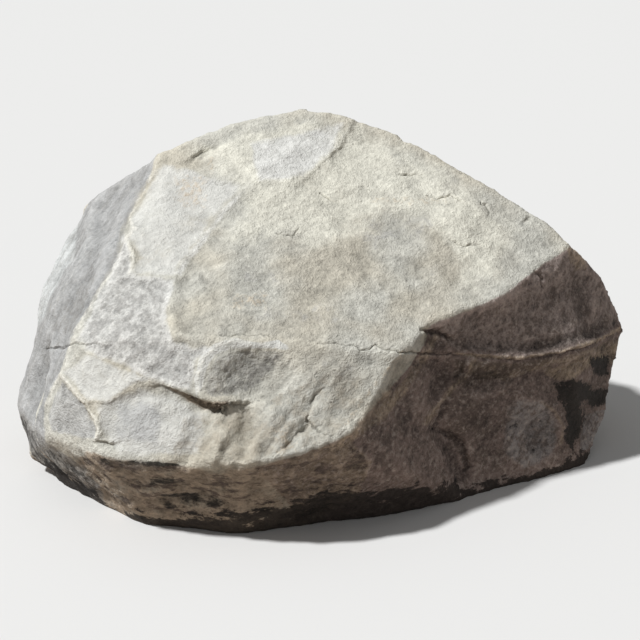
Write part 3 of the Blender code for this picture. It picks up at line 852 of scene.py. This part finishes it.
def keep_drawn(piece):
    """Keeps on each point where both viewers see it, and how squarely it faces them."""
    places, normals = read_points(piece.data)
    for name, view_point in (("front", FRONT_VIEW_POINT), ("back", BACK_VIEW_POINT)):
        drawn, to_viewer = on_sheet(places, view_point)
        seen = smooth_rise((normals * to_viewer).sum(axis=1) / SQUARE_ENOUGH)
        write_attribute(piece.data, name, np.column_stack([drawn, seen]))


def turns(along, aside, lengths):
    long, bend, short, slant = lengths
    wide = np.sin(along / long + TURN_BEND * np.sin(aside / bend))
    return wide + SMALL_TURNS * np.sin(along / short + aside / slant)


def wander(drawn):
    """Small turns, in millimetres, that keep a measured route from running too smoothly."""
    x, h = drawn[:, 0], drawn[:, 1]
    return np.column_stack([turns(h, x, TURNS_ACROSS), turns(x, h, TURNS_UP)])


def routes_of(lines):
    return [route for *_, route in lines.values()]


def press(piece, side, ledges, folds, cracks):
    """Presses ledges, folds and cracks along the normals, and adds the cracks to the crack attribute."""
    mesh = piece.data
    places, normals = read_points(mesh)
    kept = read_attribute(mesh, side).astype(float)
    drawn, seen = kept[:, :2], kept[:, 2]
    drawn = drawn + wander(drawn)
    rise = np.zeros(len(places))
    dirt = np.zeros(len(places))
    for edge, fade, route in ledges.values():
        near, beside, drop = beside_route(drawn, route, LEDGE_REACH * fade)
        left = np.maximum(beside, 0)
        rise[near] -= drop * smooth_rise(left / edge) * np.exp(-left / fade)
    for width, route in folds.values():
        near, beside, height = beside_route(drawn, route, FOLD_REACH * width)
        rise[near] += height * np.exp(-((beside / width) ** 2))
    for width, route in cracks.values():
        near, beside, depth = beside_route(drawn, route, CRACK_REACH * width)
        groove = np.exp(-((beside / width) ** 2)) * (depth > 0)
        rise[near] -= depth * groove
        dirt[near] = np.maximum(dirt[near], groove)
    write_attribute(mesh, side + "_crack", dirt * seen)
    move_points(mesh, places + normals * (rise * seen / 1000)[:, None])


def zone_amount(mesh, name):
    """How much each point belongs to a zone. A point that both viewers see is mostly the front's."""
    amount = np.zeros(len(mesh.vertices))
    front = read_attribute(mesh, "front").astype(float)
    back = read_attribute(mesh, "back").astype(float)
    back[:, 2] *= 1 - front[:, 2]
    seen = np.maximum(front[:, 2] + back[:, 2], LEAST_SEEN)
    for kept, zones in ((front, FRONT_ZONES), (back, BACK_ZONES)):
        for soft, outline in zones.get(name, ()):
            inside = within(kept[:, :2], outline, soft)
            amount = np.maximum(amount, inside * kept[:, 2] / seen)
    return amount


def route_amount(mesh, routes, reach):
    """How close each point of the front is to the routes, from 1 on a route to 0 at the reach."""
    kept = read_attribute(mesh, "front").astype(float)
    amount = np.zeros(len(kept))
    for route in routes:
        near, beside, strength = beside_route(kept[:, :2], route, reach)
        amount[near] = np.maximum(amount[near], strength * (1 - np.abs(beside) / reach))
    return amount * kept[:, 2]


def rubbed_routes():
    """The rubbed folds and the other rubbed edges, each as (x, h, strength)."""
    folds = [
        [(x, h, strength) for (x, h, _), strength in zip(FOLDS[name][-1], strengths)]
        for name, strengths in RUBBED_FOLDS.items()
    ]
    return folds + list(RUBBED_EDGES)


def keep_group(piece, name, amount):
    """A vertex group with the amounts as weights, in even steps."""
    group = piece.vertex_groups.new(name=name)
    steps = np.rint(np.clip(amount, 0, 1) * WEIGHT_STEPS).astype(int)
    for step in range(1, WEIGHT_STEPS + 1):
        chosen = np.flatnonzero(steps == step)
        if len(chosen):
            group.add(chosen.tolist(), step / WEIGHT_STEPS, "REPLACE")


def relief_texture(name, drawn_from, size, depth):
    scars = drawn_from == "SCARS"
    texture = bpy.data.textures.new(name, "VORONOI" if scars else "CLOUDS")
    texture.noise_scale = size
    if scars:
        texture.distance_metric = "DISTANCE_SQUARED"
    else:
        texture.noise_basis = drawn_from
        texture.noise_depth = depth
    return texture


def roughen(piece, shape):
    """Frost and grain: each layer of relief pushes the skin in and out."""
    mesh = piece.data
    under = zone_amount(mesh, "brown")
    flank = zone_amount(mesh, "flank")
    crystalline = zone_amount(mesh, "crystalline")
    hackly = HACKLY_BEHIND * (1 - read_attribute(mesh, "front")[:, 2]) + HACKLY_UNDER * under
    hackly = hackly + HACKLY_DUSK * zone_amount(mesh, "dusk") + HACKLY_LEAST
    keep_group(piece, "grained", 1 - np.maximum(flank, crystalline))
    keep_group(piece, "crystalline", np.maximum(crystalline, zone_amount(mesh, "scar")))
    keep_group(piece, "folded", zone_amount(mesh, "folded"))
    keep_group(piece, "bedded", under)
    keep_group(piece, "flank", flank)
    keep_group(piece, "hackly", hackly)
    grain = bpy.data.objects.new("grain", None)
    bpy.context.scene.collection.objects.link(grain)
    grain.rotation_mode = "QUATERNION"
    for name, drawn_from, size, height, depth, zone, way, stretch in RELIEF:
        grain.rotation_quaternion = way.to_track_quat("Z", "Y")
        grain.scale = (1, 1, stretch)
        bpy.context.view_layer.update()
        settings = {
            "texture": relief_texture(name, drawn_from, size, depth),
            "texture_coords": "OBJECT",
            "texture_coords_object": grain,
            "strength": height * shape.relief,
            "vertex_group": zone,
        }
        make_only(piece)
        finish_modifier(piece, name, "DISPLACE", settings)
    bpy.data.objects.remove(grain, do_unlink=True)
    piece.vertex_groups.clear()


def keep_on_ground(piece, before):
    """Fades the relief out towards the base, where the stone keeps the outline that it had before."""
    places, _ = read_points(piece.data)
    share = smooth_rise(before[:, 2] / GROUND_FADE)[:, None]
    places = before + (places - before) * share
    places[:, 2] = np.maximum(places[:, 2], 0)
    move_points(piece.data, places)


def thin_out(piece, most):
    """Leaves the triangles where the stone turns, and fewer where it runs flat."""
    finish_modifier(piece, "triangles", "TRIANGULATE", {"quad_method": "SHORTEST_DIAGONAL"})
    count = len(piece.data.polygons)
    if count > most:
        finish_modifier(piece, "fewer", "DECIMATE", {"ratio": most / count})


def eased(mesh, values, passes):
    """Values averaged with their neighbours' along the edges, so many times."""
    ends = np.empty(len(mesh.edges) * 2, dtype=np.int32)
    mesh.edges.foreach_get("vertices", ends)
    ends = ends.reshape(-1, 2)
    count = len(mesh.vertices)
    around = np.bincount(ends.ravel(), minlength=count)[:, None]
    for _ in range(passes):
        total = np.empty_like(values)
        for axis in range(values.shape[1]):
            total[:, axis] = np.bincount(ends[:, 0], values[ends[:, 1], axis], count)
            total[:, axis] += np.bincount(ends[:, 1], values[ends[:, 0], axis], count)
        values = (values + total / around) / 2
    return values


def paint_zones(piece):
    """Writes each zone of the finish as an attribute of the mesh."""
    mesh = piece.data
    places, normals = read_points(mesh)
    # The relief, which the finish uses to paint shade into the hollows and a highlight onto the ridges.
    fine = (normals * (places - eased(mesh, places, FINE_PASSES))).sum(axis=1) * 1000
    broad = (normals * (places - eased(mesh, places, BROAD_PASSES))).sum(axis=1) * 1000
    zones = {name: zone_amount(mesh, name) for name in ZONE_NAMES}
    zones["relief"] = np.clip(fine / FINE_FULL + broad / BROAD_FULL, -1, 1)
    on_ridge = RUBBED_LEAST + (1 - RUBBED_LEAST) * smooth_rise(0.5 + broad / RIDGE_FULL)
    zones["rubbed"] = route_amount(mesh, rubbed_routes(), RUBBED_REACH) * on_ridge
    zones["crack"] = np.maximum(read_attribute(mesh, "front_crack"), read_attribute(mesh, "back_crack"))
    front = read_attribute(mesh, "front")[:, 2]
    # Faces that overhang turn brown: earth stain, and painted shade under the overhang.
    under = smooth_rise((-normals[:, 2] - OVERHANG_START) / OVERHANG_RANGE)
    zones["brown"] = np.maximum(zones["brown"], under * (1 - FRONT_CLEANER * front))
    # Darker towards the ground behind: soil stain, and painted contact shade at the base.
    low = smooth_rise((SOIL_TOP - places[:, 2]) / SOIL_FADE)
    zones["soil"] = np.maximum(zones["soil"], low * (1 - front))
    zones["shady"] = np.maximum(zones["dusk"], BROWN_SHADY * zones["brown"])
    zones["calm"] = np.maximum(zones["chalk"], BLEACHED_CALM * zones["bleached"])
    for name, amount in zones.items():
        write_attribute(mesh, name, amount)


def add_node(tree, kind, settings=None, inputs=None):
    """Adds a node. An input is given a value, or the socket that it is linked from."""
    node = tree.nodes.new(kind)
    for setting, value in (settings or {}).items():
        setattr(node, setting, value)
    for socket, value in (inputs or {}).items():
        if isinstance(value, bpy.types.NodeSocket):
            tree.links.new(value, node.inputs[socket])
        else:
            node.inputs[socket].default_value = value
    return node


def per_metre(millimetres):
    return 1000 / millimetres


def quartzite(colours):
    """Pale weathered quartzite, broken and left to the weather: dull, dry and fine grained, beige where
    the sun falls on it, grey in its dense flank, with rubbed, nearly white edges, painted shade in every
    hollow and a painted highlight on every ridge. A mix of colours has its amount at socket 0, its colours
    at 6 and 7, and its result at output 2."""
    material = bpy.data.materials.new("weathered_quartzite")
    material.use_nodes = True
    tree = material.node_tree
    shader = tree.nodes["Principled BSDF"]
    place = add_node(tree, "ShaderNodeTexCoord").outputs["Object"]
    noises = {}
    for name, (size, detail, finer, way, stretch) in NOISES.items():
        turned = way.to_track_quat("Z", "Y").to_euler()
        drawn_out = add_node(
            tree, "ShaderNodeMapping", {"vector_type": "TEXTURE"},
            {"Vector": place, "Rotation": turned, "Scale": (1, 1, stretch)},
        ).outputs["Vector"]
        noises[name] = add_node(
            tree, "ShaderNodeTexNoise", None,
            {"Vector": drawn_out, "Scale": per_metre(size), "Detail": detail, "Roughness": finer},
        ).outputs["Fac"]
    blend = add_node(
        tree, "ShaderNodeMapRange", {"interpolation_type": "SMOOTHSTEP"},
        {"Value": noises["broad"], "From Min": WARM_START, "From Max": WARM_FULL},
    )
    colour = add_node(
        tree, "ShaderNodeMix", {"data_type": "RGBA"},
        {0: blend.outputs["Result"], 6: (*colours.pale, 1), 7: (*colours.warm, 1)},
    ).outputs[2]
    for zone_name, colour_name, noise, hold, start, full, most in COATS:
        zone = add_node(tree, "ShaderNodeAttribute", {"attribute_name": zone_name}).outputs["Fac"]
        outside = add_node(tree, "ShaderNodeMath", {"operation": "SUBTRACT"}, {0: zone, 1: 1.0})
        frayed = add_node(
            tree, "ShaderNodeMath", {"operation": "MULTIPLY_ADD"},
            {0: outside.outputs[0], 1: hold, 2: noises[noise]},
        )
        amount = add_node(
            tree, "ShaderNodeMapRange", {"interpolation_type": "SMOOTHSTEP"},
            {"Value": frayed.outputs[0], "From Min": start, "From Max": full, "To Max": most},
        )
        colour = add_node(
            tree, "ShaderNodeMix", {"data_type": "RGBA"},
            {0: amount.outputs["Result"], 6: colour, 7: (*getattr(colours, colour_name), 1)},
        ).outputs[2]
    strength = 1.0
    for name, more in STRONGER.items():
        zone = add_node(tree, "ShaderNodeAttribute", {"attribute_name": name}).outputs["Fac"]
        strength = add_node(
            tree, "ShaderNodeMath", {"operation": "MULTIPLY_ADD"}, {0: zone, 1: more, 2: strength},
        ).outputs[0]
    spots = 0.0
    for name, weight in SPOTS.items():
        spot = add_node(
            tree, "ShaderNodeMapRange", {"clamp": False},
            {"Value": noises[name], "To Min": -weight / 2, "To Max": weight / 2},
        ).outputs["Result"]
        spots = add_node(tree, "ShaderNodeMath", {"operation": "ADD"}, {0: spots, 1: spot}).outputs[0]
    # Painted shade and highlight: the relief darkens the colour in the hollows and lightens it on the
    # ridges.
    relief = add_node(tree, "ShaderNodeAttribute", {"attribute_name": "relief"}).outputs["Fac"]
    worn = add_node(
        tree, "ShaderNodeMath", {"operation": "MULTIPLY_ADD"}, {0: relief, 1: RELIEF_SHADE, 2: spots},
    ).outputs[0]
    shade = add_node(tree, "ShaderNodeMath", {"operation": "MULTIPLY_ADD"}, {0: worn, 1: strength, 2: 1.0})
    grained = add_node(
        tree, "ShaderNodeMix", {"data_type": "RGBA", "blend_type": "MULTIPLY"},
        {0: 1.0, 6: colour, 7: shade.outputs[0]},
    )
    tree.links.new(grained.outputs[2], shader.inputs["Base Color"])
    height = add_node(
        tree, "ShaderNodeMath", {"operation": "MULTIPLY_ADD"},
        {0: noises["fleck"], 1: FLECK_BUMP, 2: noises["grain"]},
    )
    bump = add_node(
        tree, "ShaderNodeBump", None, {"Strength": 0.9, "Distance": 0.0015, "Height": height.outputs[0]},
    )
    tree.links.new(bump.outputs["Normal"], shader.inputs["Normal"])
    shader.inputs["Roughness"].default_value = 0.85
    shader.inputs["Specular IOR Level"].default_value = 0.3
    return material


class OBJECT_OT_boulder_stone(Operator):
    """Makes the weathered stone over the block, and gives it its finish"""

    bl_idname = "object.boulder_stone"
    bl_label = "Stone"

    def execute(self, context):
        shape = context.scene.boulder_shape
        stone = copy_block("weathered_stone")
        even_skin(stone, shape)
        lips = (routes_of(LEDGES | FOLDS), routes_of(BACK_LEDGES | BACK_FOLDS))
        cracks = (routes_of(CRACKS), routes_of(BACK_CRACKS))
        make_fine(stone, ((lips, *LIP_SPLIT), (cracks, *CRACK_SPLIT)))
        keep_drawn(stone)
        press(stone, "front", LEDGES, FOLDS, CRACKS)
        press(stone, "back", BACK_LEDGES, BACK_FOLDS, BACK_CRACKS)
        before, _ = read_points(stone.data)
        roughen(stone, shape)
        keep_on_ground(stone, before)
        thin_out(stone, shape.most_triangles)
        paint_zones(stone)
        bpy.ops.object.shade_smooth()
        stone.data.materials.append(quartzite(context.scene.boulder_colours))
        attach(stone, "root")
        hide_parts("boulder")
        return {"FINISHED"}


def warm_card():
    """A warm mid-grey card under the stone, in place of the floor's bright light. It isn't seen itself."""
    material = bpy.data.materials.new("warm_card")
    material.use_nodes = True
    shader = material.node_tree.nodes["Principled BSDF"]
    shader.inputs["Base Color"].default_value = (*linear_from_hex(CARD_COLOUR), 1)
    shader.inputs["Roughness"].default_value = 1.0
    return material


def matt_floor():
    """Matt studio paint on a smooth floor: plain, pale and without gloss."""
    material = bpy.data.materials.new("matt_floor_paint")
    material.use_nodes = True
    shader = material.node_tree.nodes["Principled BSDF"]
    shader.inputs["Base Color"].default_value = (*linear_from_hex(FLOOR_COLOUR), 1)
    shader.inputs["Roughness"].default_value = 0.9
    shader.inputs["Specular IOR Level"].default_value = 0.1
    return material


class OBJECT_OT_boulder_stage(Operator):
    """Adds the floor, the light and the camera"""

    bl_idname = "object.boulder_stage"
    bl_label = "Stage"

    def execute(self, context):
        scene = context.scene
        stage = scene.boulder_stage
        bpy.ops.object.select_all(action="DESELECT")
        bpy.ops.mesh.primitive_plane_add(size=stage.floor_side, location=(0, 0, 0))
        floor = context.object
        floor.name = "floor"
        floor.data.materials.append(matt_floor())
        floor.visible_diffuse = False
        floor.visible_shadow = False
        bpy.ops.mesh.primitive_plane_add(size=stage.floor_side, location=(0, 0, -CARD_GAP))
        card = context.object
        card.name = "shade_card"
        card.data.materials.append(warm_card())
        card.visible_camera = False
        bpy.ops.object.light_add(type="SUN", rotation=SUN_WAY.to_track_quat("Z", "Y").to_euler())
        context.object.data.energy = stage.sun
        context.object.data.angle = stage.sun_spread
        world = bpy.data.worlds.new("soft_sky")
        world.use_nodes = True
        world.node_tree.nodes["Background"].inputs["Color"].default_value = (1, 1, 1, 1)
        world.node_tree.nodes["Background"].inputs["Strength"].default_value = stage.sky
        scene.world = world
        back = FRONT_VIEW_POINT - SHEET_CENTRE
        bpy.ops.object.camera_add(
            location=FRONT_VIEW_POINT, rotation=back.to_track_quat("Z", "Y").to_euler(),
        )
        context.object.data.lens = CAMERA_LENS
        scene.camera = context.object
        scene.view_settings.view_transform = "Standard"
        return {"FINISHED"}


class VIEW3D_PT_boulder(Panel):
    """Lists the boulder's steps and values."""

    bl_label = "Boulder"
    bl_space_type = "VIEW_3D"
    bl_region_type = "UI"
    bl_category = "Boulder"

    def draw(self, context):
        layout = self.layout
        scene = context.scene
        for group in (scene.boulder_shape, scene.boulder_colours, scene.boulder_stage):
            for name in group.__annotations__:
                layout.prop(group, name)
        layout.operator(OBJECT_OT_boulder_stone.bl_idname)
        layout.operator(OBJECT_OT_boulder_stage.bl_idname)


CLASSES = (
    BoulderShape,
    BoulderColours,
    BoulderStage,
    OBJECT_OT_boulder_stone,
    OBJECT_OT_boulder_stage,
    VIEW3D_PT_boulder,
)


def register():
    for item in CLASSES:
        bpy.utils.register_class(item)
    bpy.types.Scene.boulder_shape = PointerProperty(type=BoulderShape)
    bpy.types.Scene.boulder_colours = PointerProperty(type=BoulderColours)
    bpy.types.Scene.boulder_stage = PointerProperty(type=BoulderStage)


def unregister():
    del bpy.types.Scene.boulder_shape
    del bpy.types.Scene.boulder_colours
    del bpy.types.Scene.boulder_stage
    for item in reversed(CLASSES):
        bpy.utils.unregister_class(item)


def main():
    register()
    bpy.ops.object.boulder_stone()
    bpy.ops.object.boulder_stage()


if __name__ == "__main__":
    main()
